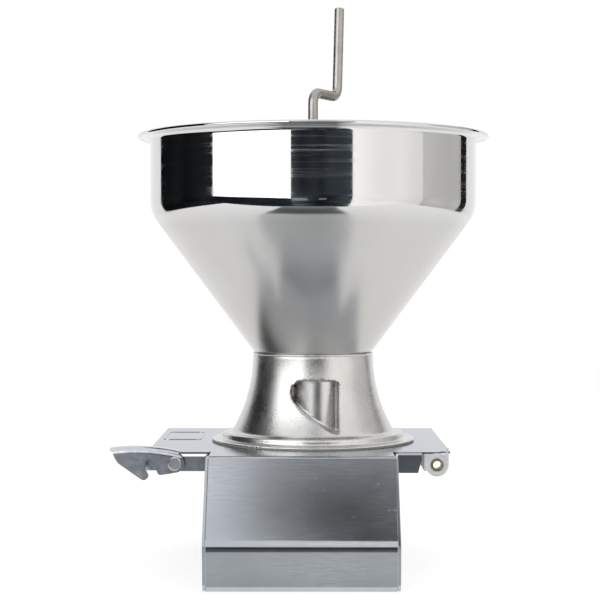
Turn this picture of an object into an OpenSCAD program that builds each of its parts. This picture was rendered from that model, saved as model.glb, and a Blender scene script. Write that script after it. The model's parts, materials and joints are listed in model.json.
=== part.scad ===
// Hopper funnel: flared bowl on a cast neck, hinged and latched lid plate with a discharge chute,
// and a hand-cranked stirrer. Millimetres.
// Every sub-part is drawn about the funnel axis with the lid plate's top face at z = 0.
// placed() then moves the whole object so that its base is at z = 0 under the middle of its box.

/* [Bowl] */
// Outer radius of the rolled rim
rim_r = 139.5; // [136:0.5:144]
// Outer radius of the straight wall
wall_r = 129.3; // [125:0.1:131]
// Height of the rolled rim's centre above the lid plate
rim_z = 240.8; // [225:0.1:260]
// Radius of the shoulder between wall and cone
shoulder_r = 25; // [15:1:35]
// Half-angle of the cone, from the vertical
cone_angle = 36.6; // [34:0.1:39]
// Thickness of the bowl's sheet
bowl_t = 1.2; // [1:0.1:1.5]
// Radius of the rolled rim bead
bead_r = 1.5; // [1:0.1:2]

/* [Neck] */
// Height of the neck's top above the lid plate
neck_h = 69; // [66:0.5:74]
// Outer radius at the neck's top
neck_r = 47.7; // [47.5:0.1:50]
// Radius of the flare's concave curve, in side view
flare_r = 119; // [112:1:130]
// Radius of the upper step of the flange
step_r = 72; // [71:0.5:74]
// Radius of the flange's foot
foot_r = 81; // [79.5:0.5:84]
// Radius of the screw pillar in the front pocket
pillar_r = 18; // [17:0.5:19]

/* [Lid plate and chute] */
// Thickness of the lid and chute sheet
sheet_t = 1.5; // [1.2:0.1:1.8]
// Left edge of the lid plate from the funnel axis
plate_left = 124; // [120:1:130]
// Right edge of the lid plate from the funnel axis
plate_right = 102; // [101:0.5:106]
// Rear edge of the lid plate from the funnel axis
plate_back = 89.4; // [86:0.2:100]
// Front edge of the lid plate's wings from the funnel axis
plate_front = 89.5; // [88.5:0.1:90]
// Width of the chute's front sheet
chute_w = 135.4; // [132:0.1:137]
// Depth of the chute below the lid plate's top
chute_h = 92; // [84:1:110]
// Height of the front fold below the lid plate's top
fold_z = 59; // [50:1:62]
// How far the fold is in front of the funnel axis
fold_y = 155.5; // [148:0.5:160]

/* [Latch] */
// Radius of the hook's notch
notch_r = 3.6; // [3.3:0.1:3.8]
// Radius of the latch pivot's shank
pivot_r = 3; // [2.5:0.1:3.2]
// Radius of the hinge bushes' bore
hinge_bore_r = 3; // [2.5:0.1:3.3]

/* [Stirrer] */
// Diameter of the stirrer rod
rod_d = 8; // [7:0.5:8.5]
// Offset of the hand grip from the funnel axis
crank_throw = 42.7; // [35:0.1:60]
// Height of the crank arm above the lid plate
crank_z = 277.5; // [270:0.5:300]
// Height of the grip's end above the lid plate
grip_z = 351; // [330:1:370]

/* [Hidden] */
$fn = 96;
BEND_STEPS = 10;

// Small working gaps
FIT = 0.05;       // radial clearance of a shaft in its hole
GAP = 0.3;        // faces of pieces that move past each other
SEAT = 0.02;      // radial gap where a fixed piece sits in a hole
CUT = 1;          // how far a cutter runs past a face

STEEL = [0.80, 0.81, 0.82];
NICKEL = [0.72, 0.71, 0.68];
DARK_STEEL = [0.55, 0.57, 0.60];
CHROMATE = [0.78, 0.66, 0.30];
RUBBER = [0.12, 0.12, 0.12];
NYLON = [0.90, 0.89, 0.84];

// Bowl
cone_foot_r = neck_r - 1.2;                  // outer radius of the cone at the neck's top
spigot_r = 44.4;
spigot_z = neck_h - 8;
lip_slope = 10;

// Neck and flange
GASKET_T = 0.6;
step_z = 7.3;                                // top of the flange's upper step
foot_z = 2.1;                                // top of the flange's foot
neck_wall = 5.5;
seat_z = neck_h - 16;                        // ledge that carries the bearing bridge
seat_r = 40.5;
pillar_at = [2.5, -28];
boss_x = [-21.5, 24.5];                      // block behind the pocket, left to right
boss_back_y = -26;
window = [[19.7, 10], [14.6, 10.7], [10.8, 12.8], [1.3, 18.9], [-8.3, 26.6], [-14.9, 33.6],
          [-17.2, 38], [-17.6, 41.5], [-16.5, 45.5], [-13, 49], [-8.5, 50.3], [15.5, 50.3],
          [18.5, 49], [19.7, 46]];           // the pocket's outline, from the front
SCREW_AT = [[67.2, 25.8], [-67.2, 25.8]];
SCREW_R = 2.5;
PILLAR_SCREW_AT = [2.5, -36];
throat_r = 50;                               // opening in the lid plate and gasket

// Chute
chute_x = -8.7;                              // the chute's middle, from the funnel axis
chute_left = chute_x - chute_w / 2;
chute_right = chute_x + chute_w / 2;
side_t = 2.2;
side_gap = 0.25;
nose_y = 116;                                // the top front bend, in front of the funnel axis
apron_lean = 4;                              // how far the apron's foot leans back
rear_y = 67;
HEM = 8;
BEND_R = 2.6;
FOLD_R = 12;                                 // the softer bend at the front fold

// Latch, in the x-z plane of its front plate
lever_front = -103.5;                        // y of the lever's front face
lever_back = -91;
crown_top = [-131, 5.6];                     // highest point of the lever's rounded back
crown_r = 141;
pivot_at = [-102.1, -6.9];
notch_at = [-120.6, -7.5];
arm_y = -97.25;                              // middle of the latch arm's sheet
arm_z = [-13.3, -2.3];
arm_left = -111;
lever_tip = -150.2;
lever_side = [[lever_tip, 8], [lever_tip, 2.5], [-147.9, 0.9], [-146.3, -3.2], [-143.8, -6.9],
              [-127.2, -18.5], [-125.6, -19.2], [-124.2, -19.2], [-122, -17.5], [-121.4, -16.2], [-121.6, -14.9],
              [-122.5, -13.4], [-123.8, -11.5], [-123.9, notch_at.y], [-117, notch_at.y],
              [-115.4, -12.6], [-114.6, -14.5], [-113.2, -15.4], [-106.9, -14.7], [-99.4, -13],
              [-99.4, 8]];
LEVER_END_R = 6.8;

// Hinge
hinge_at = [91.8, -9.3];                     // x and z of the hinge axis
EAR_R = 8.6;
ear_front = -92;
ear_back = 48;
ear_lug_z = 3.2;
BUSH_R = 4.7;
BUSH_L = 8;

// Stirrer
rod_r = rod_d / 2;
CRANK_BEND = 9;
crank_turn = 61.8;                           // direction of the crank arm, from +x
grip_lean = 3.2;                             // how far the grip leans outward, in degrees
rod_foot = 44;
HUB_R = 9;
paddle_z = 84;
collar_z = 63.5;

// Bounding box of the whole object, which fixes the row frame
box_x = [lever_tip, rim_r];
box_y = [-(fold_y + 0.3), rim_r];
mid_x = (box_x[0] + box_x[1]) / 2;
mid_y = (box_y[0] + box_y[1]) / 2;

module placed() {
    translate([-mid_x, -mid_y, chute_h]) children();
}

// ---- helpers ----

function unit(v) = v / norm(v);
function left_of(v) = [-v.y, v.x];
function turned(v, a) = [v.x * cos(a) - v.y * sin(a), v.x * sin(a) + v.y * cos(a)];
function reversed(p) = [for (i = [len(p) - 1 : -1 : 0]) p[i]];
function arc(centre, r, from, to) =
    [for (k = [0 : BEND_STEPS]) centre + r * turned([1, 0], from + (to - from) * k / BEND_STEPS)];

// The points of one bend of a sheet whose middle line is p, at distance s to the line's left.
function bend(p, i, r, s) =
    let (u = unit(p[i] - p[i - 1]),
         v = unit(p[i + 1] - p[i]),
         a = atan2(u.x * v.y - u.y * v.x, u * v),
         side = sign(a),
         start = p[i] - u * r * tan(abs(a) / 2),
         centre = start + side * r * left_of(u))
    [for (k = [0 : BEND_STEPS])
        centre + (r - side * s) * turned(-side * left_of(u), a * k / BEND_STEPS)];

function side_path(p, r, s) =
    let (n = len(p) - 1)
    concat([p[0] + s * left_of(unit(p[1] - p[0]))],
           [for (i = [1 : n - 1]) each bend(p, i, r[i], s)],
           [p[n] + s * left_of(unit(p[n] - p[n - 1]))]);

// Section of a sheet of thickness t bent along the line p, with bend radius r[i] at p[i].
module bent_sheet(p, r, t) {
    polygon(concat(side_path(p, r, t / 2), reversed(side_path(p, r, -t / 2))));
}

// Draws a y-z outline from x0 to x1.
module along_x(x0, x1) {
    translate([x0, 0, 0]) rotate([90, 0, 90]) linear_extrude(x1 - x0) children();
}

// Draws an x-z outline from y0 to y1.
module along_y(y0, y1) {
    translate([0, y1, 0]) rotate([90, 0, 0]) linear_extrude(y1 - y0) children();
}

// Draws an x-y outline from z0 to z1.
module along_z(z0, z1) {
    translate([0, 0, z0]) linear_extrude(z1 - z0) children();
}

module rounded_rect(lo, hi, r) {
    translate([lo.x + r, lo.y]) square([hi.x - lo.x - 2 * r, hi.y - lo.y]);
    translate([lo.x, lo.y + r]) square([hi.x - lo.x, hi.y - lo.y - 2 * r]);
    for (x = [lo.x + r, hi.x - r]) {
        for (y = [lo.y + r, hi.y - r]) {
            translate([x, y]) circle(r = r, $fn = 32);
        }
    }
}

// A cylinder along y from y0 to y1 about the x-z point at.
module rod_along_y(at, y0, y1, r) {
    translate([at.x, y1, at.y]) rotate([90, 0, 0]) cylinder(r = r, h = y1 - y0);
}

// ---- bowl ----

module hopper_bowl() {
    half = bowl_t / 2;
    foot = cone_foot_r - half / cos(cone_angle);
    spigot_mid = spigot_r - half;
    wall_mid = wall_r - half;
    bead_at = [rim_r - bead_r, rim_z];
    line = [[spigot_mid, spigot_z],
            [spigot_mid, neck_h + (spigot_mid - foot) / tan(cone_angle)],
            [wall_mid, neck_h + (wall_mid - foot) / tan(cone_angle)],
            [wall_mid, rim_z - (bead_at.x - wall_mid) * tan(lip_slope)],
            bead_at];
    color(STEEL) placed() {
        rotate_extrude($fn = 180)
            bent_sheet(line, [0, 1.2, shoulder_r - half, 4.6, 0], bowl_t);
        rotate_extrude($fn = 180) translate(bead_at) circle(r = bead_r, $fn = 32);
    }
}

// ---- neck ----

function flare(z) = neck_r + flare_r - sqrt(pow(flare_r, 2) - pow(neck_h - z, 2));

FLARE_TOP = 66;
FLARE_FOOT = 8.8;
function flare_side() =
    [for (k = [0 : 24]) let (z = FLARE_TOP + (FLARE_FOOT - FLARE_TOP) * k / 24) [flare(z), z]];

function neck_outside() =
    concat([[neck_r - 0.6, neck_h], [neck_r, neck_h - 0.7]],
           flare_side(),
           arc([flare(FLARE_FOOT) + 2.6, step_z + 3], 3, 210, 270),
           arc([step_r - 2, step_z - 2], 2, 90, 0),
           [[step_r, foot_z + 0.4], [step_r + 0.4, foot_z]],
           arc([foot_r - 0.7, foot_z - 0.7], 0.7, 90, 0),
           [[foot_r, GASKET_T]]);

function neck_inside() =
    concat([[throat_r + 7.5, GASKET_T], [throat_r + 7.5, 4]],
           [for (z = [10 : 4 : 46]) [min(throat_r + 7.5, flare(z) - neck_wall), z]],
           [[seat_r, seat_z - 3], [seat_r, seat_z], [spigot_r + FIT, seat_z],
            [spigot_r + FIT, neck_h - 3], [cone_foot_r + 0.15, neck_h]]);

module neck_boss() {
    intersection() {
        rotate_extrude() polygon(concat([[0, neck_h], [0, GASKET_T]],
                                        reversed(neck_outside())));
        translate([boss_x[0], -step_r, GASKET_T])
            cube([boss_x[1] - boss_x[0], step_r + boss_back_y, seat_z - GASKET_T]);
    }
}

module neck_pocket() {
    difference() {
        along_y(-step_r - 10, pillar_at.y - 2) polygon(window);
        translate([pillar_at.x, pillar_at.y, 0]) cylinder(r = pillar_r, h = neck_h);
    }
}

module neck_casting() {
    color(NICKEL) placed() difference() {
        union() {
            rotate_extrude($fn = 180) polygon(concat(neck_outside(), neck_inside()));
            neck_boss();
        }
        neck_pocket();
        for (p = SCREW_AT) {
            translate([p.x, p.y, foot_z]) cylinder(r = 6.6, h = 12);
            translate([p.x, p.y, -CUT]) cylinder(r = SCREW_R + SEAT, h = 6);
        }
        translate([PILLAR_SCREW_AT.x, PILLAR_SCREW_AT.y, -CUT])
            cylinder(r = SCREW_R + SEAT, h = 20);
    }
}

// The opening under the neck: round, with a tongue left below the screw pillar.
module throat_outline() {
    difference() {
        circle(r = throat_r);
        translate([boss_x[0], -throat_r - CUT])
            square([boss_x[1] - boss_x[0], throat_r + CUT + boss_back_y - 1]);
    }
}

module flange_holes() {
    for (p = concat(SCREW_AT, [PILLAR_SCREW_AT])) {
        translate(p) circle(r = SCREW_R + SEAT, $fn = 48);
    }
}

module neck_gasket() {
    color(RUBBER) placed() along_z(0, GASKET_T) difference() {
        circle(r = foot_r - 0.8);
        throat_outline();
        flange_holes();
    }
}

// ---- lid plate and chute ----

// The folded front in side view: top, nose bend, slanted face, fold, apron and hem.
function front_line() =
    let (h = sheet_t / 2)
    [[-plate_front + 2, -h], [-nose_y, -h], [-fold_y + h, -fold_z],
     [-fold_y + h + apron_lean, -chute_h + h], [-fold_y + h + apron_lean + HEM, -chute_h + h]];

module raised_cartouche() {
    along_z(0, 0.3) translate([-120, -2]) difference() {
        rounded_rect([0, 0], [31, 58], 5);
        rounded_rect([1.6, 1.6], [29.4, 56.4], 3.4);
    }
}

module lid_plate() {
    hinge_notch = [94.5, 98.5];
    flange_x = [62.6, 80.6];
    flange_foot = -15.6;
    color(STEEL) placed() {
        difference() {
            along_z(-sheet_t, 0) difference() {
                union() {
                    rounded_rect([-plate_left, -plate_front], [plate_right, plate_back], 2);
                    translate([chute_left, -plate_front - 3]) square([chute_w, 10]);
                }
                throat_outline();
                flange_holes();
                translate([hinge_notch[0], -plate_front - CUT])
                    square([plate_right - hinge_notch[0] + CUT, CUT + 4]);
                for (x = [chute_left - 1.3, chute_right + 0.1]) {
                    translate([x, -plate_front - CUT]) square([1.2, 3]);
                }
                translate([flange_x[0], -plate_front - CUT])
                    square([flange_x[1] - flange_x[0], CUT + BEND_R + sheet_t / 2]);
            }
        }
        along_x(chute_left, chute_right)
            bent_sheet(front_line(), [0, BEND_R, FOLD_R, BEND_R, 0], sheet_t);
        difference() {
            along_x(flange_x[0], flange_x[1]) bent_sheet(
                [[-plate_front + BEND_R + sheet_t, -sheet_t / 2],
                 [-plate_front + sheet_t / 2, -sheet_t / 2],
                 [-plate_front + sheet_t / 2, flange_foot]],
                [0, 2, 0], sheet_t);
            along_y(-plate_front - CUT, -plate_front + sheet_t + CUT)
                polygon([[flange_x[1] - 3, flange_foot - CUT], [flange_x[1] + CUT, flange_foot - CUT],
                         [flange_x[1] + CUT, -2]]);
        }
        raised_cartouche();
    }
}

// Outline of a chute side in side view, just proud of the folded front.
module side_outline() {
    corner = 5;
    proud = 0.3;
    front = -fold_y - proud;
    foot_y = front + apron_lean;
    difference() {
        polygon([[rear_y + 1, -sheet_t], [-nose_y - proud, -sheet_t], [front, -fold_z],
                 [foot_y, -chute_h], [rear_y + 1, -chute_h]]);
        // rounded lower front corner
        difference() {
            translate([foot_y - CUT, -chute_h - CUT]) square([corner + CUT, corner + CUT]);
            translate([foot_y + corner, -chute_h + corner]) circle(r = corner, $fn = 48);
        }
        // blunted fold and nose
        translate([front - 1.2, -fold_z]) rotate(-15) square([2, 8], center = true);
        translate([-nose_y - 2, -sheet_t + 0.6]) rotate(-62) square([2, 6], center = true);
    }
}

module left_side_panel() {
    color(STEEL) placed()
        along_x(chute_left - side_gap - side_t, chute_left - side_gap) side_outline();
}

module right_side_panel() {
    color(STEEL) placed()
        along_x(chute_right + side_gap, chute_right + side_gap + side_t) side_outline();
}

module rear_panel() {
    h = sheet_t / 2;
    line = [[rear_y - 14, -sheet_t - h], [rear_y + h, -sheet_t - h], [rear_y + h, -chute_h + h],
            [rear_y + h - HEM, -chute_h + h]];
    color(STEEL) placed() along_x(chute_left + 0.1, chute_right - 0.1)
        bent_sheet(line, [0, BEND_R, BEND_R, 0], sheet_t);
}

// ---- latch ----

module latch_arm() {
    side_face = chute_left - side_gap - side_t;
    h = sheet_t / 2;
    line = [[side_face - h, -62], [side_face - h, arm_y], [arm_left, arm_y]];
    color(DARK_STEEL) placed() difference() {
        union() {
            along_z(arm_z[0], arm_z[1]) bent_sheet(line, [0, 2.2, 0], sheet_t);
            // stop lug under the lever's back
            translate([arm_left, arm_y - h, arm_z[1] - CUT]) cube([4, sheet_t, 5.2]);
        }
        rod_along_y(pivot_at, arm_y - 3, arm_y + 3, pivot_r + SEAT);
        arm_rivet_holes();
    }
}

// Rounded back and both flanks of the lever, as one bent section swept on the crown's circle.
module lever_shell() {
    h = sheet_t / 2;
    corner = 4.5;
    line = [[crown_r - 40, lever_front + h], [crown_r - h, lever_front + h],
            [crown_r - h, lever_back - h], [crown_r - 40, lever_back - h]];
    translate([crown_top.x, 0, crown_top.y - crown_r]) rotate([-90, 0, 0])
        rotate([0, 0, -110]) rotate_extrude(angle = 40, $fn = 360)
            bent_sheet(line, [0, corner, corner, 0], sheet_t);
}

module lever_front_outline() {
    difference() {
        union() {
            polygon(lever_side);
            translate(pivot_at) circle(r = LEVER_END_R);
        }
        translate(notch_at) circle(r = notch_r, $fn = 64);
        translate(pivot_at) circle(r = pivot_r + FIT, $fn = 64);
    }
}

// The rear flank is plain, with a straight lower edge.
module lever_rear_outline() {
    difference() {
        union() {
            polygon([[lever_tip, 8], [lever_tip, 2.6], [-146.4, 0], [-143, -6], [-132, -13.4],
                     [-102, -13.4], [-99.4, -12], [-99.4, 8]]);
            translate(pivot_at) circle(r = LEVER_END_R - 0.3);
        }
        translate(pivot_at) circle(r = pivot_r + FIT, $fn = 64);
    }
}

module latch_lever() {
    middle = (lever_front + lever_back) / 2;
    color(DARK_STEEL) placed() intersection() {
        lever_shell();
        union() {
            along_y(lever_front - CUT, middle) lever_front_outline();
            along_y(middle, lever_back + CUT) lever_rear_outline();
        }
        along_z(-30, 10) rounded_rect([lever_tip, lever_front], [-80, lever_back], 3);
    }
}

module latch_rivet() {
    head_t = 2.6;
    color(NICKEL) placed() {
        rod_along_y(pivot_at, lever_front - 0.6, lever_back + 0.6, pivot_r);
        difference() {
            rod_along_y(pivot_at, lever_front - GAP - head_t, lever_front - GAP, 5);
            // bevelled edge
            translate([pivot_at.x, lever_front - GAP - head_t, pivot_at.y]) rotate([-90, 0, 0])
                difference() {
                    translate([0, 0, -CUT]) cylinder(r = 7, h = CUT + 0.7);
                    cylinder(r1 = 4.3, r2 = 5, h = 0.7);
                    translate([0, 0, -2 * CUT]) cylinder(r = 4.3, h = 2 * CUT);
                }
        }
        rod_along_y(pivot_at, lever_back + GAP, lever_back + 1.4, 4.2);
    }
}

module latch_spacer() {
    y0 = lever_front + sheet_t + GAP;
    color(NICKEL) placed() difference() {
        rod_along_y(pivot_at, y0, arm_y - sheet_t / 2, 5);
        rod_along_y(pivot_at, y0 - CUT, arm_y, pivot_r + SEAT);
    }
}

// Close-wound torsion spring round the pivot: a whole coil between two that end in a straight leg,
// one leg on the arm and one on the lever.
module latch_spring() {
    wire = 0.55;
    coil = 5.2;
    y0 = arm_y + sheet_t / 2 + GAP + wire;
    pitch = 2 * wire + 0.03;
    color(STEEL) placed() {
        translate([pivot_at.x, y0, pivot_at.y]) spring_end(coil, wire, 11);
        translate([pivot_at.x, y0 + pitch, pivot_at.y]) rotate([90, 0, 0])
            rotate_extrude() translate([coil, 0]) circle(r = wire, $fn = 24);
        translate([pivot_at.x, y0 + 2 * pitch, pivot_at.y]) rotate([0, 180, 0])
            spring_end(coil, wire, 9);
    }
}

// Three quarters of a coil with a leg that leaves its foot along +x.
module spring_end(coil, wire, leg) {
    rotate([90, 0, 0])
        rotate_extrude(angle = 270) translate([coil, 0]) circle(r = wire, $fn = 24);
    translate([0, 0, -coil]) rotate([0, 90, 0]) cylinder(r = wire, h = leg, $fn = 24);
}

ARM_RIVET_Y = [-68, -84];
module arm_rivet_holes() {
    for (y = ARM_RIVET_Y) {
        translate([chute_left - 12, y, -7.8]) rotate([0, 90, 0]) cylinder(r = 1.6 + SEAT, h = 16);
    }
}

// Flat rivets that hold the latch arm's foot against the left chute side.
module arm_rivets() {
    face = chute_left - side_gap - side_t;
    color(NICKEL) placed() for (y = ARM_RIVET_Y) {
        translate([face - sheet_t, y, -7.8]) rotate([0, 90, 0])
            cylinder(r = 1.6, h = sheet_t, $fn = 32);
        translate([face - sheet_t - 1.2, y, -7.8]) rotate([0, 90, 0])
            cylinder(r1 = 2.2, r2 = 3.2, h = 1.2, $fn = 32);
    }
}

// ---- hinge ----

module ear(y0) {
    along_y(y0, y0 + sheet_t) difference() {
        union() {
            translate(hinge_at) circle(r = EAR_R);
            translate([hinge_at.x - EAR_R, hinge_at.y])
                square([2 * EAR_R, -sheet_t - hinge_at.y]);
            translate([hinge_at.x + EAR_R - 1.9, hinge_at.y])
                square([1.9, ear_lug_z - hinge_at.y]);
        }
        translate(hinge_at) circle(r = BUSH_R + SEAT);
    }
}

module hinge_bracket() {
    web_x = hinge_at.x - EAR_R - 0.9;
    rear_ear = ear_back - sheet_t;
    color(STEEL) placed() difference() {
        union() {
            ear(ear_front);
            ear(rear_ear);
            along_z(-14, -sheet_t) translate([web_x, ear_front])
                square([sheet_t, ear_back - ear_front]);
        }
        // the rear lug passes outside the plate's edge
        translate([web_x, rear_ear - CUT, -sheet_t])
            cube([plate_right + GAP - web_x, sheet_t + 2 * CUT, 6]);
    }
}

module hinge_bushes() {
    color(CHROMATE) placed() for (y = [ear_front - 0.6, ear_back - BUSH_L + 0.6]) {
        difference() {
            rod_along_y(hinge_at, y, y + BUSH_L, BUSH_R);
            rod_along_y(hinge_at, y - CUT, y + BUSH_L + CUT, hinge_bore_r);
        }
    }
}

// ---- stirrer and its bearing ----

bridge_z = [seat_z, spigot_z - 0.1];

module bearing_bridge() {
    color(NICKEL) placed() difference() {
        union() {
            along_z(bridge_z[0], bridge_z[1]) difference() {
                circle(r = spigot_r - 0.1);
                circle(r = seat_r + 0.5);
            }
            for (a = [90, 210, 330]) {
                rotate(a) translate([HUB_R - 1, -2.5, bridge_z[0]])
                    cube([seat_r - HUB_R + 2, 5, 6]);
            }
            translate([0, 0, bridge_z[0]]) cylinder(r = HUB_R, h = bridge_z[1] - bridge_z[0]);
        }
        translate([0, 0, bridge_z[0] - CUT]) cylinder(r = 6 + SEAT, h = 12);
    }
}

module bridge_bush() {
    color(NYLON) placed() difference() {
        union() {
            translate([0, 0, bridge_z[0]]) cylinder(r = 6, h = bridge_z[1] - bridge_z[0]);
            translate([0, 0, bridge_z[1]]) cylinder(r = 8, h = 1.2);
        }
        translate([0, 0, bridge_z[0] - CUT]) cylinder(r = rod_r + FIT, h = 14);
    }
}

// A bend of the rod in the x-z plane, from +z at the origin towards +x. It is drawn a hair thinner
// than the straight lengths, as a bent bar is.
module rod_bend(a) {
    translate([CRANK_BEND, 0, 0]) rotate([90, 0, 0]) rotate([0, 0, 180 - a])
        rotate_extrude(angle = a) translate([CRANK_BEND, 0]) circle(r = rod_r - 0.02, $fn = 64);
}

// Moves what follows to the end of such a bend.
module after_bend(a) {
    translate([CRANK_BEND * (1 - cos(a)), 0, CRANK_BEND * sin(a)]) rotate([0, a, 0]) children();
}

// A straight length, let into the bends at both ends by the seat gap.
module rod_length(h) {
    translate([0, 0, -SEAT]) cylinder(r = rod_r, h = h + 2 * SEAT, $fn = 64);
}

// The bent bar: shaft, crank arm, and grip with a broken edge at its end.
module bent_rod() {
    rise = 90 - grip_lean;
    arm = crank_throw - CRANK_BEND * (1 + sin(rise));
    grip = (grip_z - crank_z - CRANK_BEND * (1 - cos(rise))) / sin(rise);
    edge = 0.8;
    translate([0, 0, rod_foot]) rod_length(crank_z - CRANK_BEND - rod_foot);
    rotate(crank_turn) translate([0, 0, crank_z - CRANK_BEND]) {
        rod_bend(90);
        after_bend(90) {
            rod_length(arm);
            translate([0, 0, arm]) rotate([0, 0, 180]) {
                rod_bend(rise);
                after_bend(rise) {
                    rod_length(grip - edge);
                    translate([0, 0, grip - edge])
                        cylinder(r1 = rod_r, r2 = rod_r - edge, h = edge, $fn = 64);
                }
            }
        }
    }
}

module stirrer_rod() {
    color(STEEL) placed() difference() {
        bent_rod();
        pin_hole();
        clip_groove();
    }
}

module pin_hole() {
    rotate(crank_turn) translate([0, 0, paddle_z + 7]) rotate([90, 0, 0])
        cylinder(r = 1.5 + SEAT, h = 40, center = true, $fn = 32);
}

CLIP_Z = seat_z - 1.5;
module clip_groove() {
    translate([0, 0, CLIP_Z]) difference() {
        cylinder(r = rod_r + 2, h = 1);
        translate([0, 0, -CUT]) cylinder(r = rod_r - 0.7, h = 3);
    }
}

module shaft_collar() {
    color(STEEL) placed() difference() {
        translate([0, 0, collar_z]) cylinder(r = HUB_R, h = 8);
        translate([0, 0, collar_z - CUT]) cylinder(r = rod_r + SEAT, h = 10);
        translate([0, 0, collar_z + 4]) rotate([0, 90, 0])
            cylinder(r = 2 + SEAT, h = 20, $fn = 32);
    }
}

module collar_screw() {
    color(DARK_STEEL) placed() translate([0, 0, collar_z + 4]) rotate([0, 90, 0]) difference() {
        translate([0, 0, rod_r + 0.15]) cylinder(r = 2, h = 4.4, $fn = 32);
        translate([0, 0, rod_r + 2.6]) cylinder(r = 1.1, h = 3, $fn = 6);
    }
}

module thrust_washer() {
    color(NYLON) placed() translate([0, 0, collar_z - 1.1]) difference() {
        cylinder(r = 8, h = 1.1);
        translate([0, 0, -CUT]) cylinder(r = rod_r + SEAT, h = 4);
    }
}

// Open retaining ring in the rod's groove, just under the bearing.
module retaining_clip() {
    color(DARK_STEEL) placed() translate([0, 0, CLIP_Z + 0.05]) difference() {
        cylinder(r = 6.5, h = 0.9);
        translate([0, 0, -CUT]) cylinder(r = rod_r - 0.65, h = 3);
        translate([-2.2, 0, -CUT]) cube([4.4, 10, 3]);
    }
}

// Two flat blades that sweep just inside the cone, on a pinned hub.
module stirrer_paddle() {
    blade = [[HUB_R - 1, paddle_z + 1], [42, paddle_z], [58, paddle_z + 30],
             [51, paddle_z + 31], [30, paddle_z + 14], [HUB_R - 1, paddle_z + 12]];
    color(STEEL) placed() difference() {
        union() {
            translate([0, 0, paddle_z]) cylinder(r = HUB_R, h = 14);
            rotate(crank_turn) {
                along_y(-1.5, 1.5) polygon(blade);
                rotate(180) along_y(-1.5, 1.5) polygon(blade);
            }
        }
        translate([0, 0, paddle_z - CUT]) cylinder(r = rod_r + SEAT, h = 16);
        pin_hole();
    }
}

module paddle_pin() {
    color(DARK_STEEL) placed() rotate(crank_turn) translate([0, 0, paddle_z + 7])
        rotate([90, 0, 0]) cylinder(r = 1.5, h = 2 * HUB_R + 1, center = true, $fn = 32);
}

// ---- fasteners ----

WASHER_T = 1;

module neck_screws() {
    color(NICKEL) placed() for (p = SCREW_AT) {
        translate([p.x, p.y, 0]) {
            translate([0, 0, -8.4]) cylinder(r = SCREW_R, h = 8.4 + foot_z + WASHER_T, $fn = 48);
            difference() {
                union() {
                    translate([0, 0, foot_z + WASHER_T]) cylinder(r = 4.75, h = 2.4);
                    translate([0, 0, foot_z + WASHER_T + 2.4])
                        cylinder(r1 = 4.75, r2 = 3.6, h = 0.9);
                }
                translate([0, 0, foot_z + WASHER_T + 1.6]) cylinder(r = 1.9, h = 3, $fn = 6);
            }
        }
    }
}

module ring(r_in, r_out, z0, h) {
    translate([0, 0, z0]) difference() {
        cylinder(r = r_out, h = h);
        translate([0, 0, -CUT]) cylinder(r = r_in, h = h + 2 * CUT);
    }
}

module neck_washers() {
    color(STEEL) placed() for (p = SCREW_AT) {
        translate([p.x, p.y, 0]) {
            ring(SCREW_R + SEAT, 5.4, foot_z, WASHER_T);
            ring(SCREW_R + SEAT, 5.4, -sheet_t - WASHER_T, WASHER_T);
        }
    }
}

module neck_nuts() {
    color(STEEL) placed() for (p = SCREW_AT) {
        translate([p.x, p.y, -sheet_t - WASHER_T - 4]) difference() {
            cylinder(r = 4.6, h = 4, $fn = 6);
            translate([0, 0, -CUT]) cylinder(r = SCREW_R + SEAT, h = 8);
        }
    }
}

module pillar_screw() {
    color(NICKEL) placed() translate([PILLAR_SCREW_AT.x, PILLAR_SCREW_AT.y, 0]) {
        translate([0, 0, -sheet_t]) cylinder(r = SCREW_R, h = 18, $fn = 48);
        difference() {
            translate([0, 0, -sheet_t - 3.4]) cylinder(r1 = 3.8, r2 = 4.75, h = 3.4);
            translate([0, 0, -sheet_t - 4]) cylinder(r = 1.9, h = 2.6, $fn = 6);
        }
    }
}

hopper_bowl();
neck_casting();
neck_gasket();
lid_plate();
left_side_panel();
right_side_panel();
rear_panel();
latch_arm();
hinge_bracket();
hinge_bushes();
latch_lever();
latch_rivet();
latch_spacer();
latch_spring();
arm_rivets();
bearing_bridge();
bridge_bush();
stirrer_rod();
shaft_collar();
collar_screw();
thrust_washer();
retaining_clip();
stirrer_paddle();
paddle_pin();
neck_screws();
neck_washers();
neck_nuts();
pillar_screw();
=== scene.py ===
"""A hopper funnel on a cast neck, with a hinged, latched lid plate, a discharge chute and a hand stirrer.

The CAD nodes come in as a fixed frame. Sheet parts get rounded edges. The spun bowl, the casting, the
solder between them, the latch spring and the screw threads are built here as finer meshes. The metal
mirrors a studio of dark and bright cards. Lengths are in metres.
"""

import json
import math

import bmesh
import bpy
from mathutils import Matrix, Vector, noise

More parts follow.
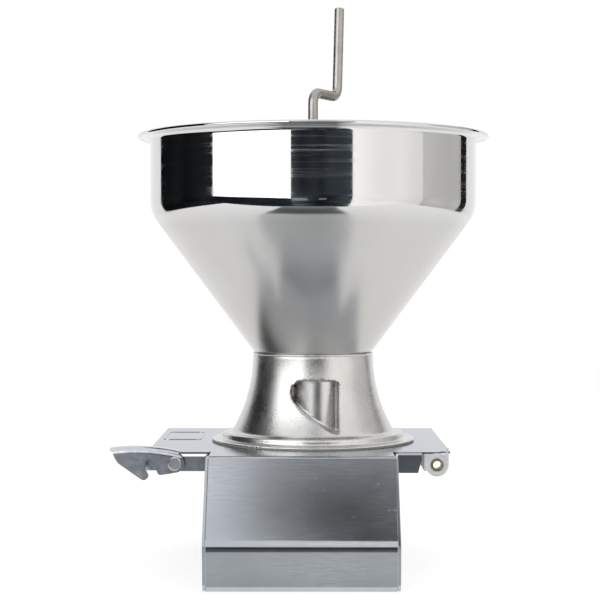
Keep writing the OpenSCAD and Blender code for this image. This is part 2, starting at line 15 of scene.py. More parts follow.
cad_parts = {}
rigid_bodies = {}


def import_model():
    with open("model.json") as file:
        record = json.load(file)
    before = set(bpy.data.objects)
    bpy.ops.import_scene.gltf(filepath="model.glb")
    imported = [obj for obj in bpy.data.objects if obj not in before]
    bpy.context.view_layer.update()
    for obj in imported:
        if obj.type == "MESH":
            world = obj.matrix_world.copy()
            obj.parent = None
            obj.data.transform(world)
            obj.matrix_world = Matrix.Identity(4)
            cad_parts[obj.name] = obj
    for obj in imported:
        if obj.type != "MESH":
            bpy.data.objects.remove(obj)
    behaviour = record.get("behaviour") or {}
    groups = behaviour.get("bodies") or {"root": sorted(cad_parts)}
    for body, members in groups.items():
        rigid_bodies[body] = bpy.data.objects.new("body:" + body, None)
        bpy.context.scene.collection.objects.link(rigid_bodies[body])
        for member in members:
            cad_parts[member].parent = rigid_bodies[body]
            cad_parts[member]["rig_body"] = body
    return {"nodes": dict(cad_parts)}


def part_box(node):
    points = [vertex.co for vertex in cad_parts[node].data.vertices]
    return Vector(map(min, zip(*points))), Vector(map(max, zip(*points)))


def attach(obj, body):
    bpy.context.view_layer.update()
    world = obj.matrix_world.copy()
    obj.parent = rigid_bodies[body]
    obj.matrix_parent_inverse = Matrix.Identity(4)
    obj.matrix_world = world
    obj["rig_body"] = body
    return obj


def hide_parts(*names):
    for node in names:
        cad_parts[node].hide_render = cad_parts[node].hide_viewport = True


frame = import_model()
bpy.context.view_layer.update()

MM = 0.001
PLATE_TOP = 0.092                         # height of the lid plate's top face


def funnel_axis():
    low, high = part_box("hopper_bowl")
    return Vector(((low.x + high.x) / 2, (low.y + high.y) / 2, 0))


AXIS = funnel_axis()


# ---- camera, floor and light ----

CAMERA_AT = AXIS + Vector((-0.0056, -1.248, 0.226))
CAMERA_PITCH = -1.03                      # degrees, down
CAMERA_YAW = 0.22                         # degrees, to the left
CAMERA_LENS = 93.6


def add_camera():
    data = bpy.data.cameras.new("camera")
    data.lens = CAMERA_LENS
    data.sensor_width = 36
    camera = bpy.data.objects.new("camera", data)
    camera.location = CAMERA_AT
    camera.rotation_euler = (math.radians(90 + CAMERA_PITCH), 0, math.radians(CAMERA_YAW))
    bpy.context.scene.collection.objects.link(camera)
    bpy.context.scene.camera = camera
    bpy.context.scene.view_settings.view_transform = "Standard"


def stage_mesh(name, vertices, faces, material):
    """A flat-shaded object that belongs to the studio, not to the part."""
    mesh = bpy.data.meshes.new(name)
    mesh.from_pydata(vertices, [], faces)
    mesh.materials.append(material)
    thing = bpy.data.objects.new(name, mesh)
    bpy.context.scene.collection.objects.link(thing)
    return thing


def grid_faces(columns, rows):
    """Faces of a grid whose vertices run up each column in turn."""
    up = rows + 1
    return [(k * up + row, (k + 1) * up + row, (k + 1) * up + row + 1, k * up + row + 1)
            for k in range(columns) for row in range(rows)]


def set_glow(thing, strengths):
    thing.data.attributes.new("glow", "FLOAT", "POINT").data.foreach_set("value", strengths)


FLOOR_COLOUR = 0.40
FLOOR_GLOW = 0.72
FLOOR_X = 0.8
FLOOR_Y = (-0.44, 1.6)                    # its near edge stops short, so that the cards show below it
FLOOR_Z = -0.0003


def floor_material():
    """White card, lit a little from below so that it stays as bright as the background."""
    material = bpy.data.materials.new("floor")
    material.use_nodes = True
    shader = material.node_tree.nodes["Principled BSDF"]
    shader.inputs["Base Color"].default_value = (FLOOR_COLOUR, FLOOR_COLOUR, FLOOR_COLOUR, 1)
    shader.inputs["Roughness"].default_value = 0.9
    shader.inputs["Specular IOR Level"].default_value = 0.1
    shader.inputs["Emission Color"].default_value = (1, 1, 1, 1)
    shader.inputs["Emission Strength"].default_value = FLOOR_GLOW
    return material


def add_floor():
    near, far = FLOOR_Y
    corners = [(-FLOOR_X, near, FLOOR_Z), (FLOOR_X, near, FLOOR_Z), (FLOOR_X, far, FLOOR_Z),
               (-FLOOR_X, far, FLOOR_Z)]
    stage_mesh("floor", corners, [(0, 1, 2, 3)], floor_material())


def glow(name, colour):
    """Gives off light of one colour, as strong as the mesh's own glow values say."""
    material = bpy.data.materials.new(name)
    material.use_nodes = True
    nodes, links = material.node_tree.nodes, material.node_tree.links
    nodes.clear()
    strength = nodes.new("ShaderNodeAttribute")
    strength.attribute_name = "glow"
    emission = nodes.new("ShaderNodeEmission")
    emission.inputs["Color"].default_value = (*colour, 1)
    output = nodes.new("ShaderNodeOutputMaterial")
    links.new(strength.outputs["Fac"], emission.inputs["Strength"])
    links.new(emission.outputs[0], output.inputs["Surface"])
    return material


# Tall curved cards round the object. Azimuth 0 is towards the camera and grows to the camera's
# right. Each card has (azimuth, bottom, top, strength) at its first and at its last edge, then
# its colour and how mottled it is.
CARDS = {
    "softbox_left": ((-71, 0.34, 2.1, 2.0), (-15, -0.16, 2.1, 2.3), (1, 1, 1), 0.0),
    "room_left": ((-73, -2.0, 1.2, 0.020), (-13, -2.0, 1.2, 0.030), (0.60, 0.78, 1.0), 0.5),
    "room_dark_left": ((-15, -2.0, 0.58, 0.13), (5, -2.0, 0.58, 0.018), (0.66, 0.82, 1.0), 0.7),
    "room_dark_right": ((5, -2.0, 0.58, 0.018), (26, -2.0, 0.58, 0.080), (0.66, 0.82, 1.0), 0.7),
    "low_light_left": ((-14, -0.46, -0.10, 0.30), (-4, -0.46, -0.10, 0.24), (0.88, 0.94, 1.0), 0.6),
    "low_light_right": ((3.5, -0.36, -0.12, 0.25), (8.5, -0.36, -0.12, 0.25), (0.93, 0.97, 1.0), 0.3),
    "softbox_right": ((26, -2.0, 1.9, 1.32), (79, -2.0, 1.9, 1.00), (1.0, 0.985, 0.965), 0.06),
    "wall_grey": ((79, -2.0, 1.9, 0.70), (122, -2.0, 1.9, 0.64), (1.0, 0.985, 0.965), 0.10),
    "flag_right": ((122, -2.0, 1.9, 0.02), (132, -2.0, 1.9, 0.02), (0.9, 0.95, 1.0), 0.3),
    "flag_left": ((-131, -2.0, 3.4, 0.006), (-71, -2.0, 3.4, 0.016), (0.75, 0.88, 1.0), 0.6),
}
CARD_RADIUS = 2.5
CARD_OFFSETS = {"room_left": 0.1, "low_light_left": -0.1, "low_light_right": -0.1}
CARD_STEP = 2                             # degrees between a card's columns
CARD_ROWS = 24
CLOUD_DEGREES = 14                        # how wide one cloud of the mottling is
CLOUD_DEPTH = 1.6
DIMMEST = 0.1                             # the least that mottling leaves of a card's strength


def add_card(name, first, last, colour, mottle):
    radius = CARD_RADIUS + CARD_OFFSETS.get(name, 0)
    columns = round(abs(last[0] - first[0]) / CARD_STEP)
    vertices, strengths = [], []
    for k in range(columns + 1):
        azimuth, bottom, top, strength = [p + (q - p) * k / columns for p, q in zip(first, last)]
        a = math.radians(azimuth)
        for row in range(CARD_ROWS + 1):
            z = bottom + (top - bottom) * row / CARD_ROWS
            vertices.append((AXIS.x + radius * math.sin(a), AXIS.y - radius * math.cos(a), z))
            cloud = noise.noise(Vector((azimuth / CLOUD_DEGREES, 2.4 * z, 3.7)))
            strengths.append(strength * max(DIMMEST, 1 + CLOUD_DEPTH * mottle * cloud))
    card = stage_mesh(name, vertices, grid_faces(columns, CARD_ROWS), glow(name, colour))
    set_glow(card, strengths)
    card.visible_camera = False


# Dark board hung above the camera's line of sight, which the chute's slanted face mirrors. Across
# it the stops are (place, glow), and along it (place, share of the darkness). Places are measured
# from BOARD_AT.
BOARD_AT = CAMERA_AT + Vector((0, 0.5756, 0.6805))
BOARD_TILT = 32.5
BOARD_ACROSS = [(-0.24, 1.15), (-0.133, 1.10), (-0.103, 0.84), (-0.072, 0.52), (-0.042, 0.32),
                (-0.012, 0.12), (0.020, 0.02), (0.085, 0.02), (0.140, 0.06), (0.175, 0.12),
                (0.185, 0.95), (0.24, 1.0)]
BOARD_ALONG = [(-0.26, 0.0), (-0.180, 0.0), (-0.150, 0.5), (-0.120, 1.0), (0.000, 1.0),
               (0.030, 0.90), (0.052, 0.76), (0.10, 0.66), (0.17, 0.0)]
BOARD_SLANT = 0.9                         # sideways drift of the pattern along the board
BOARD_CELL = 0.005
BOARD_BRIGHTEST = 1.2
BOARD_COLOUR = (0.93, 0.965, 1.0)


def along_stops(stops, x):
    """The value at x on a line drawn through the stops."""
    for (x0, y0), (x1, y1) in zip(stops, stops[1:]):
        if x <= x1:
            return y0 + (y1 - y0) * max(0, x - x0) / (x1 - x0)
    return stops[-1][1]


def add_board():
    x0, x1 = BOARD_ACROSS[0][0], BOARD_ACROSS[-1][0]
    y0, y1 = BOARD_ALONG[0][0], BOARD_ALONG[-1][0]
    columns, rows = round((x1 - x0) / BOARD_CELL), round((y1 - y0) / BOARD_CELL)
    vertices, strengths = [], []
    for k in range(columns + 1):
        for row in range(rows + 1):
            x, y = x0 + k * BOARD_CELL, y0 + row * BOARD_CELL
            vertices.append((x, y, 0))
            cloud = 1 + 0.5 * noise.noise(Vector((14 * x, 30 * y, 1.3)))
            across = along_stops(BOARD_ACROSS, x + BOARD_SLANT * min(0, y))
            dark = (1 - across * cloud) * along_stops(BOARD_ALONG, y)
            strengths.append(min(BOARD_BRIGHTEST, 1 - dark))
    board = stage_mesh("board", vertices, grid_faces(columns, rows), glow("board", BOARD_COLOUR))
    set_glow(board, strengths)
    board.location = BOARD_AT
    board.rotation_euler = (math.radians(BOARD_TILT), 0, 0)
    board.visible_camera = False


# The object's own shadow on the table, which the cone and the chute mirror. The stops are (distance
# in front of the chute, glow). The chute's front is part of the lid_plate node.
SHADOW_ALONG = [(0.004, 0.60), (0.030, 0.68), (0.068, 0.70), (0.086, 0.25), (0.125, 0.09),
                (0.190, 0.12), (0.320, 0.34)]
SHADOW_LEFT = 0.170
SHADOW_RIGHT = 0.115
SHADOW_LIFT = 0.0002
SHADOW_COLOUR = (0.93, 0.97, 1.0)


def add_shadow():
    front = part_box("lid_plate")[0].y
    vertices, strengths = [], []
    for distance, strength in SHADOW_ALONG:
        for x in (AXIS.x - SHADOW_LEFT, AXIS.x + SHADOW_RIGHT):
            vertices.append((x, front - distance, SHADOW_LIFT))
            strengths.append(strength)
    shadow = stage_mesh("shadow", vertices, grid_faces(len(SHADOW_ALONG) - 1, 1),
                        glow("shadow", SHADOW_COLOUR))
    set_glow(shadow, strengths)
    shadow.visible_camera = False
    shadow.visible_diffuse = False
    shadow.visible_shadow = False


def add_studio():
    world = bpy.data.worlds.new("studio")
    world.use_nodes = True
    world.node_tree.nodes["Background"].inputs["Color"].default_value = (1, 1, 1, 1)
    world.node_tree.nodes["Background"].inputs["Strength"].default_value = 1.0
    bpy.context.scene.world = world
    for name, card in CARDS.items():
        add_card(name, *card)
    add_board()
    add_shadow()
    add_floor()


# ---- materials ----

class Nodes:
    """A material with a Principled shader, and short calls that add nodes to it."""

    def __init__(self, name, colour, roughness, metallic=1.0):
        self.material = bpy.data.materials.new(name)
        self.material.use_nodes = True
        self.tree = self.material.node_tree
        self.shader = self.tree.nodes["Principled BSDF"]
        self.shader.inputs["Base Color"].default_value = (*colour, 1)
        self.shader.inputs["Roughness"].default_value = roughness
        self.shader.inputs["Metallic"].default_value = metallic
        self.place = self.tree.nodes.new("ShaderNodeTexCoord").outputs["Object"]

    def link(self, a, b):
        self.tree.links.new(a, b)

    def noise(self, scale, stretch=(1, 1, 1), detail=3, roughness=0.55, turn=(0, 0, 0)):
        """Noise whose grain is 1/scale metres, drawn out along the axes where stretch is small."""
        mapping = self.tree.nodes.new("ShaderNodeMapping")
        mapping.inputs["Scale"].default_value = stretch
        mapping.inputs["Rotation"].default_value = [math.radians(a) for a in turn]
        texture = self.tree.nodes.new("ShaderNodeTexNoise")
        texture.inputs["Scale"].default_value = scale
        texture.inputs["Detail"].default_value = detail
        texture.inputs["Roughness"].default_value = roughness
        self.link(self.place, mapping.inputs["Vector"])
        self.link(mapping.outputs["Vector"], texture.inputs["Vector"])
        return texture.outputs["Fac"]

    def spread(self, value, low, high, start=0.3, end=0.7):
        node = self.tree.nodes.new("ShaderNodeMapRange")
        node.inputs["From Min"].default_value = start
        node.inputs["From Max"].default_value = end
        node.inputs["To Min"].default_value = low
        node.inputs["To Max"].default_value = high
        self.link(value, node.inputs["Value"])
        return node.outputs["Result"]

    def blend(self, factor, a, b):
        """Mixes two colours; each is a tuple or an output."""
        node = self.tree.nodes.new("ShaderNodeMix")
        node.data_type = "RGBA"
        self.link(factor, node.inputs["Factor"])
        for value, socket in ((a, node.inputs[6]), (b, node.inputs[7])):
            if isinstance(value, tuple):
                socket.default_value = (*value, 1)
            else:
                self.link(value, socket)
        return node.outputs[2]

    def maths(self, operation, a, b):
        node = self.tree.nodes.new("ShaderNodeMath")
        node.operation = operation
        for value, socket in ((a, node.inputs[0]), (b, node.inputs[1])):
            if isinstance(value, (int, float)):
                socket.default_value = value
            else:
                self.link(value, socket)
        return node.outputs["Value"]

    def bump(self, height, depth, strength=1.0, under=None):
        node = self.tree.nodes.new("ShaderNodeBump")
        node.inputs["Distance"].default_value = depth
        node.inputs["Strength"].default_value = strength
        self.link(height, node.inputs["Height"])
        if under is not None:
            self.link(under, node.inputs["Normal"])
        return node.outputs["Normal"]

    def finish(self, colour=None, roughness=None, normal=None):
        for value, name in ((colour, "Base Color"), (roughness, "Roughness"), (normal, "Normal")):
            if value is not None:
                self.link(value, self.shader.inputs[name])
        return self.material


def tinted(colour, factor):
    return tuple(min(1.0, c * factor) for c in colour)


SHOULDER = (0.262, 0.276)                 # heights between which the cone's rougher finish and painted shade give way


def polished_stainless():
    """Spun bowl: a mirror with fine rings above the shoulder, and below it a rougher cone whose colour is
    darkened as painted shade.
    """
    base = (0.665, 0.664, 0.660)
    n = Nodes("polished_stainless", base, 0.05)
    height = n.tree.nodes.new("ShaderNodeSeparateXYZ")
    n.link(n.place, height.inputs[0])
    above = n.spread(height.outputs["Z"], 0, 1, *SHOULDER)
    rings = n.noise(1, (7, 7, 1500), detail=5, roughness=0.75)
    worn_bands = n.noise(1, (14, 14, 320), detail=3)
    smears = n.noise(26, (1, 1, 0.45), detail=4)
    wall_rough = n.spread(n.maths("MULTIPLY", rings, worn_bands), 0.025, 0.15, 0.20, 0.40)
    cone_rough = n.spread(smears, 0.19, 0.27)
    rough = n.maths("ADD", n.maths("MULTIPLY", wall_rough, above),
                    n.maths("MULTIPLY", cone_rough, n.maths("SUBTRACT", 1.0, above)))
    # Painted shade: the cone's colour is darkened to between 0.76 and 0.88 of the wall's, in smeared
    # patches.
    cone = n.blend(n.spread(smears, 0, 1), tinted(base, 0.76), tinted(base, 0.88))
    stain = n.spread(n.noise(11, detail=4), 0, 1, 0.35, 0.65)
    cone = n.blend(stain, cone, (0.560, 0.545, 0.520))
    colour = n.blend(above, cone, base)
    normal = n.bump(rings, 0.000003, under=n.bump(n.noise(9), 0.0006, 0.10))
    return n.finish(colour, rough, normal)


def nickel_plate():
    """Shot-blasted casting under nickel: bright, with a fine pebbled grain."""
    base = (0.670, 0.663, 0.648)
    n = Nodes("nickel_plate", base, 0.25)
    grain = n.noise(900, detail=4, roughness=0.62)
    patches = n.noise(55, detail=3)
    colour = n.blend(n.spread(patches, 0, 1), tinted(base, 0.92), tinted(base, 1.05))
    pits = n.spread(grain, 0, 1, 0.28, 0.40)
    colour = n.blend(pits, tinted(base, 0.86), colour)
    rough = n.spread(patches, 0.24, 0.32)
    normal = n.bump(grain, 0.00016, 0.60, under=n.bump(n.noise(170), 0.00025, 0.25))
    return n.finish(colour, rough, normal)


def satin_sheet():
    """Plate and chute sheet: cool grey with a fine rolled grain and a few faint scuffs."""
    base = (0.535, 0.550, 0.574)
    n = Nodes("satin_sheet", base, 0.16)
    # Dims the sheet where it is seen at a low angle, as the plate's top is from the camera.
    n.shader.inputs["Specular Tint"].default_value = (0.80, 0.82, 0.86, 1)
    rolling = n.noise(240, (0.35, 4, 4), detail=3, roughness=0.6)
    clouds = n.noise(14, detail=4)
    scratch = n.noise(420, (0.06, 1, 1), detail=2, turn=(12, 4, 24))
    scuff = n.noise(300, (1, 0.08, 1), detail=2, turn=(0, 18, -31))
    marks = n.spread(n.maths("MULTIPLY", scratch, scuff), 0, 1, 0.40, 0.50)
    colour = n.blend(n.spread(clouds, 0, 1), tinted(base, 0.88), tinted(base, 1.09))
    colour = n.blend(n.spread(rolling, 0, 1, 0.35, 0.65), tinted(base, 0.90), colour)
    colour = n.blend(marks, colour, tinted(base, 1.12))
    rough = n.maths("ADD", n.spread(clouds, 0.115, 0.165), n.maths("MULTIPLY", marks, 0.06))
    normal = n.bump(rolling, 0.000004, 0.5, under=n.bump(n.noise(18), 0.0010, 0.04))
    return n.finish(colour, rough, normal)


def zinc_sheet():
    """Latch lever and arm: plated sheet with a faint bloom."""
    base = (0.62, 0.64, 0.68)
    n = Nodes("zinc_sheet", base, 0.18)
    bloom = n.noise(160, detail=4, roughness=0.6)
    scratch = n.noise(700, (0.08, 1, 1), detail=2, turn=(20, -8, 15))
    marks = n.spread(scratch, 0, 1, 0.64, 0.74)
    colour = n.blend(n.spread(bloom, 0, 1), tinted(base, 0.90), tinted(base, 1.08))
    colour = n.blend(marks, colour, tinted(base, 1.20))
    rough = n.spread(bloom, 0.15, 0.24)
    normal = n.bump(bloom, 0.00002, 0.25, under=n.bump(marks, 0.00001, 0.4))
    return n.finish(colour, rough, normal)


def dull_zinc():
    """Hinge bracket: dull zinc plate, light and nearly matt."""
    base = (0.74, 0.745, 0.755)
    n = Nodes("dull_zinc", base, 0.60)
    bloom = n.noise(260, detail=4, roughness=0.6)
    colour = n.blend(n.spread(bloom, 0, 1), tinted(base, 0.88), tinted(base, 1.06))
    return n.finish(colour, n.spread(bloom, 0.52, 0.70), n.bump(bloom, 0.00003, 0.4))


def satin_stainless():
    """Stirrer bar: drawn stainless, a little warm, with lines along the bar."""
    base = (0.43, 0.41, 0.385)
    n = Nodes("satin_stainless", base, 0.26)
    drawn = n.noise(900, (1, 1, 0.03), detail=3)
    bands = n.noise(70, detail=3)
    colour = n.blend(n.spread(bands, 0, 1), tinted(base, 0.86), tinted(base, 1.10))
    rough = n.spread(drawn, 0.30, 0.40)
    normal = n.bump(drawn, 0.000004, 0.3)
    return n.finish(colour, rough, normal)


def spring_steel():
    """Spring wire: dark drawn steel."""
    base = (0.42, 0.42, 0.43)
    n = Nodes("spring_steel", base, 0.30)
    drawn = n.noise(1500, (1, 1, 0.2), detail=2)
    colour = n.blend(n.spread(n.noise(300), 0, 1), tinted(base, 0.8), tinted(base, 1.15))
    return n.finish(colour, n.spread(drawn, 0.24, 0.38), n.bump(drawn, 0.00002, 0.4))


def yellow_chromate():
    """Hinge bushes: zinc with a yellow, faintly rainbow passivation."""
    base = (0.62, 0.53, 0.30)
    n = Nodes("yellow_chromate", base, 0.32)
    film = n.noise(420, detail=3)
    colour = n.blend(n.spread(film, 0, 1), (0.52, 0.44, 0.24), (0.40, 0.33, 0.12))
    colour = n.blend(n.spread(n.noise(160), 0, 1, 0.5, 0.75), colour, (0.55, 0.54, 0.46))
    return n.finish(colour, n.spread(film, 0.24, 0.42), n.bump(film, 0.00004, 0.4))


def white_nylon():
    """Bush and washer: slightly translucent, off-white."""
    base = (0.80, 0.785, 0.73)
    n = Nodes("white_nylon", base, 0.48, metallic=0)
    n.shader.inputs["Subsurface Weight"].default_value = 0.15
    n.shader.inputs["Subsurface Radius"].default_value = (0.002, 0.002, 0.002)
    mottle = n.noise(300, detail=3)
    colour = n.blend(n.spread(mottle, 0, 1), tinted(base, 0.93), tinted(base, 1.04))
    return n.finish(colour, n.spread(mottle, 0.42, 0.58), n.bump(mottle, 0.00004, 0.4))


def gasket_rubber():
    """Matt grey rubber with a fine skin."""
    base = (0.34, 0.34, 0.335)
    n = Nodes("gasket_rubber", base, 0.72, metallic=0)
    skin = n.noise(1100, detail=3)
    colour = n.blend(n.spread(skin, 0, 1), tinted(base, 0.8), tinted(base, 1.2))
    return n.finish(colour, n.spread(skin, 0.62, 0.82), n.bump(skin, 0.00006, 0.5))


MATERIALS = {make.__name__: make() for make in (
    polished_stainless, nickel_plate, satin_sheet, zinc_sheet, dull_zinc, satin_stainless,
    spring_steel, yellow_chromate, white_nylon, gasket_rubber)}


def paint_cad_nodes():
    """Each CAD node comes in with the name of its finish in its material slot."""
    for node in frame["nodes"].values():
        for slot in node.material_slots:
            slot.material = MATERIALS[slot.material.name.split(".")[0]]


def finish_of(node):
    return frame["nodes"][node].material_slots[0].material.name.split(".")[0]


# ---- pieces ----

WELD = 1e-7                               # corners closer than this are one corner
SMOOTH_BELOW = math.radians(35)           # a fold sharper than this keeps its edge
FLAT_BELOW = math.radians(0.2)            # faces that turn by less than this are joined


def add_piece(name, mesh, slot, body, *nodes):
    """Makes an object of a bmesh, with smooth faces and sharp edges kept, that stands for the nodes."""
    for face in mesh.faces:
        face.smooth = True
    for edge in mesh.edges:
        edge.smooth = len(edge.link_faces) == 2 and edge.calc_face_angle(0) < SMOOTH_BELOW
    data = bpy.data.meshes.new(name)
    mesh.to_mesh(data)
    mesh.free()
    data.materials.append(MATERIALS[slot])
    piece = bpy.data.objects.new(name, data)
    bpy.context.scene.collection.objects.link(piece)
    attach(piece, body)
    if nodes:
        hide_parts(*nodes)
    return piece


def add_edged(node, radius):
    """A copy of a CAD node with its edges rounded over, as sheared and deburred metal has."""
    source = frame["nodes"][node]
    mesh = bmesh.new()
    mesh.from_mesh(source.data)
    bmesh.ops.remove_doubles(mesh, verts=mesh.verts, dist=WELD)
    bmesh.ops.dissolve_limit(mesh, angle_limit=FLAT_BELOW, verts=mesh.verts, edges=mesh.edges)
    sharp = [e for e in mesh.edges
             if len(e.link_faces) == 2 and e.calc_face_angle(0) > SMOOTH_BELOW]
    bmesh.ops.bevel(mesh, geom=sharp, offset=radius, offset_type="OFFSET", segments=3,
                    profile=0.5, affect="EDGES", clamp_overlap=True)
    piece = add_piece(node + "_edged", mesh, finish_of(node), source["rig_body"], node)
    weighted = piece.modifiers.new("flat_faces", "WEIGHTED_NORMAL")
    weighted.keep_sharp = True
    weighted.weight = 100


def turned(x, y, angle):
    """The point (x, y) turned about the origin."""
    return (x * math.cos(angle) - y * math.sin(angle), x * math.sin(angle) + y * math.cos(angle))


def rounded_line(points, radii, step=math.radians(2.5)):
    """Points and left-hand normals along a polyline whose corners are arcs of the given radii."""
    line = []
    directions = [(Vector(b) - Vector(a)).normalized() for a, b in zip(points, points[1:])]
    for i, point in enumerate(points):
        point = Vector(point)
        if i in (0, len(points) - 1) or radii[i] == 0:
            d = directions[min(i, len(directions) - 1)]
            line.append((point, Vector((-d.y, d.x))))
            continue
        u, v = directions[i - 1], directions[i]
        angle = math.atan2(u.x * v.y - u.y * v.x, u.dot(v))
        side = 1 if angle > 0 else -1
        start = point - u * radii[i] * math.tan(abs(angle) / 2)
        left = Vector((-u.y, u.x))
        centre = start + left * side * radii[i]
        steps = max(3, round(abs(angle) / step))
        for k in range(steps + 1):
            normal = Vector(turned(left.x, left.y, angle * k / steps))
            line.append((centre - normal * side * radii[i], normal))
    return line


def add_ring_surface(mesh, outline, segments, wobble):
    """Turns a closed outline of (radius, height) about the funnel's axis."""
    rings = []
    for k in range(segments):
        a = 2 * math.pi * k / segments
        ring = []
        for r, z in outline:
            r += wobble(a, r, z)
            ring.append(mesh.verts.new((AXIS.x + r * math.cos(a), AXIS.y + r * math.sin(a), z)))
        rings.append(ring)
    count = len(outline)
    for k in range(segments):
        a, b = rings[k], rings[(k + 1) % segments]
        for i in range(count):
            j = (i + 1) % count
            mesh.faces.new((a[i], b[i], b[j], a[j]))


def circle(at, radius, sides):
    """Points of a circle round the point at."""
    return [(at[0] + radius * math.cos(t), at[1] + radius * math.sin(t))
            for t in [2 * math.pi * k / sides for k in range(sides)]]


def perfectly_round(a, r, z):
    return 0


# The bowl's middle line from the spigot to the rim, with the bend radius at each corner.
SHEET = 1.2 * MM
BOWL_LINE = [(0.0438, PLATE_TOP + 0.061), (0.0438, PLATE_TOP + 0.0673),
             (0.1287, PLATE_TOP + 0.18162), (0.1287, PLATE_TOP + 0.23923),
             (0.1380, PLATE_TOP + 0.2408)]
BOWL_BENDS = [0, 0.0012, 0.0244, 0.0046, 0]
BEAD_AT = (0.1380, PLATE_TOP + 0.2408)
BEAD_R = 1.5 * MM
BOWL_SEGMENTS = 300
BOWL_STEP = 6 * MM                        # about the length of a straight step along that line
WOBBLE = 0.06 * MM
WOBBLE_BEYOND = 60 * MM                   # the cone's foot, nearer the axis than this, stays round


def bowl_wobble(a, r, z):
    """Spun sheet is never quite round: it is out by a few hundredths of a millimetre."""
    at = Vector((2.2 * math.cos(a), 2.2 * math.sin(a), 9 * z))
    return WOBBLE * noise.noise(at) if r > WOBBLE_BEYOND else 0


def build_bowl():
    mesh = bmesh.new()
    bends = rounded_line(BOWL_LINE, BOWL_BENDS)
    line = []
    for (p, n), (q, _) in zip(bends, bends[1:]):
        steps = max(1, round((q - p).length / BOWL_STEP))
        line += [(p.lerp(q, k / steps), n) for k in range(steps)]
    line.append(bends[-1])
    outline = [tuple(p + n * SHEET / 2) for p, n in line]
    outline += [tuple(p - n * SHEET / 2) for p, n in reversed(line)]
    add_ring_surface(mesh, outline, BOWL_SEGMENTS, bowl_wobble)
    add_ring_surface(mesh, circle(BEAD_AT, BEAD_R, 20), BOWL_SEGMENTS, perfectly_round)
    bmesh.ops.recalc_face_normals(mesh, faces=mesh.faces)
    add_piece("bowl_spun", mesh, "polished_stainless", "hopper", "hopper_bowl")


def sweep_tube(mesh, path, radius, sides=12):
    """A round tube along a list of points, closed at both ends."""
    rings = []
    across = None
    for i, p in enumerate(path):
        along = (path[min(i + 1, len(path) - 1)] - path[max(i - 1, 0)]).normalized()
        if across is None:
            across = along.orthogonal().normalized()
        across = (across - along * across.dot(along)).normalized()
        other = along.cross(across)
        rings.append([mesh.verts.new(p + radius * (math.cos(t) * across + math.sin(t) * other))
                      for t in [2 * math.pi * k / sides for k in range(sides)]])
    for a, b in zip(rings, rings[1:]):
        for k in range(sides):
            mesh.faces.new((a[k], a[(k + 1) % sides], b[(k + 1) % sides], b[k]))
    mesh.faces.new(reversed(rings[0]))
    mesh.faces.new(rings[-1])


CAST_VOXEL = 0.8 * MM
CAST_SMOOTHING = 5


def build_neck():
    """The casting's edges are soft all over, so it is remeshed finely and smoothed."""
    source = frame["nodes"]["neck_casting"]
    rough = bpy.data.objects.new("cast_rough", source.data.copy())
    bpy.context.scene.collection.objects.link(rough)
    remesh = rough.modifiers.new("remesh", "REMESH")
    remesh.mode = "VOXEL"
    remesh.voxel_size = CAST_VOXEL
    smooth = rough.modifiers.new("smooth", "SMOOTH")
    smooth.factor = 0.5
    smooth.iterations = CAST_SMOOTHING
    mesh = bmesh.new()
    mesh.from_object(rough, bpy.context.evaluated_depsgraph_get())
    bpy.data.objects.remove(rough)
    add_piece("neck_cast", mesh, "nickel_plate", "hopper", "neck_casting")


SOLDER_AT = (0.0470, PLATE_TOP + 0.0692)  # radius and height of the joint between bowl and neck
SOLDER_R = 0.9 * MM
SOLDER_UNEVEN = 0.3 * MM


def build_solder():
    """The uneven bead of solder where the cone meets the top of the neck."""
    def uneven(a, r, z):
        return SOLDER_UNEVEN * noise.noise(Vector((9 * math.cos(a), 9 * math.sin(a), 0)))

    mesh = bmesh.new()
    add_ring_surface(mesh, circle(SOLDER_AT, SOLDER_R, 12), BOWL_SEGMENTS, uneven)
    bmesh.ops.recalc_face_normals(mesh, faces=mesh.faces)
    add_piece("solder_bead", mesh, "nickel_plate", "hopper")


SPRING_WIRE = 0.55 * MM
SPRING_COIL = 5.2 * MM
SPRING_TURNS = 2.75
SPRING_STEPS = 32                         # steps in one turn


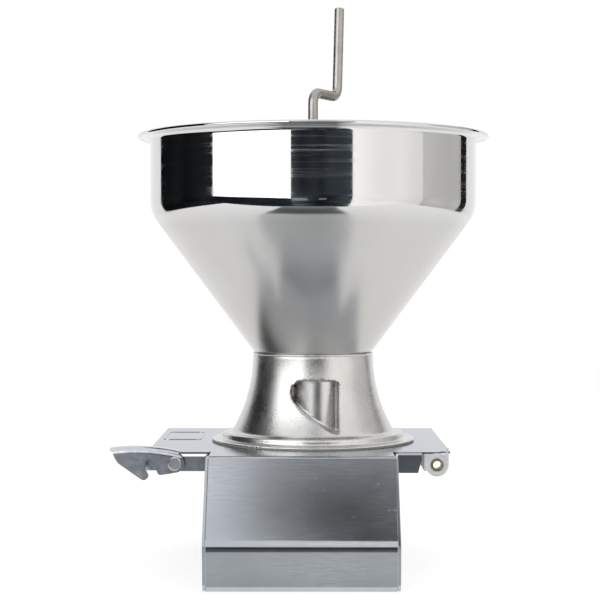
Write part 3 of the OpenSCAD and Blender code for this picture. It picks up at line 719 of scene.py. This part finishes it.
def build_spring():
    """Torsion spring: a close helix round the pivot between two straight legs."""
    low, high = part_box("latch_spring")
    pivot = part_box("latch_rivet")
    x = (pivot[0].x + pivot[1].x) / 2
    z = (pivot[0].z + pivot[1].z) / 2
    y0, y1 = low.y + SPRING_WIRE, high.y - SPRING_WIRE
    count = round(SPRING_TURNS * SPRING_STEPS)
    coil = []
    for k in range(count + 1):
        turn = 2 * math.pi * SPRING_TURNS * k / count
        coil.append(Vector((x + SPRING_COIL * math.cos(turn), y0 + (y1 - y0) * k / count,
                            z + SPRING_COIL * math.sin(turn))))
    first_leg = coil[0] + Vector((0, 0, -(coil[0].z - low.z) + SPRING_WIRE))
    last_leg = coil[-1] + Vector((high.x - SPRING_WIRE - coil[-1].x, 0, 0))
    mesh = bmesh.new()
    sweep_tube(mesh, [first_leg] + coil + [last_leg], SPRING_WIRE)
    add_piece("spring_wire", mesh, "spring_steel", "hopper", "latch_spring")


THREAD_PITCH = 0.8 * MM
THREAD_R = 2.42 * MM                      # from the screw's axis to the middle of the crest
CREST_R = 0.22 * MM
THREAD_START = 0.2 * MM                   # how far above the screw's end the thread starts
THREAD_STEPS = 20                         # steps in one turn
SCREW_HEAD_R = 4.7 * MM                   # from each end of the screws' common box to an axis


def build_threads():
    """Raised helical crests round the two flange screws' shanks, below the plate."""
    low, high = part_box("neck_screws")
    mesh = bmesh.new()
    y = (low.y + high.y) / 2
    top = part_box("neck_nuts")[0].z
    turns = (top - low.z) / THREAD_PITCH
    count = round(turns * THREAD_STEPS)
    for x in (low.x + SCREW_HEAD_R, high.x - SCREW_HEAD_R):
        path = [Vector((x + THREAD_R * math.cos(2 * math.pi * turns * k / count),
                        y + THREAD_R * math.sin(2 * math.pi * turns * k / count),
                        low.z + THREAD_START + (top - low.z - THREAD_START) * k / count))
                for k in range(count + 1)]
        sweep_tube(mesh, path, CREST_R, sides=6)
    add_piece("screw_threads", mesh, "nickel_plate", "hopper")


# The nodes whose edges are rounded over, each with its radius.
EDGED = {
    "lid_plate": 0.45 * MM,
    "left_side_panel": 0.60 * MM,
    "right_side_panel": 0.60 * MM,
    "rear_panel": 0.30 * MM,
    "latch_arm": 0.45 * MM,
    "latch_lever": 0.55 * MM,
    "hinge_bracket": 0.30 * MM,
    "bearing_bridge": 0.40 * MM,
    "neck_nuts": 0.20 * MM,
    "stirrer_paddle": 0.35 * MM,
}


def build_pieces():
    for node, radius in EDGED.items():
        add_edged(node, radius)
    build_bowl()
    build_neck()
    build_solder()
    build_spring()
    build_threads()


def write_sizes():
    bpy.context.view_layer.update()


add_camera()
add_studio()
paint_cad_nodes()
build_pieces()
write_sizes()
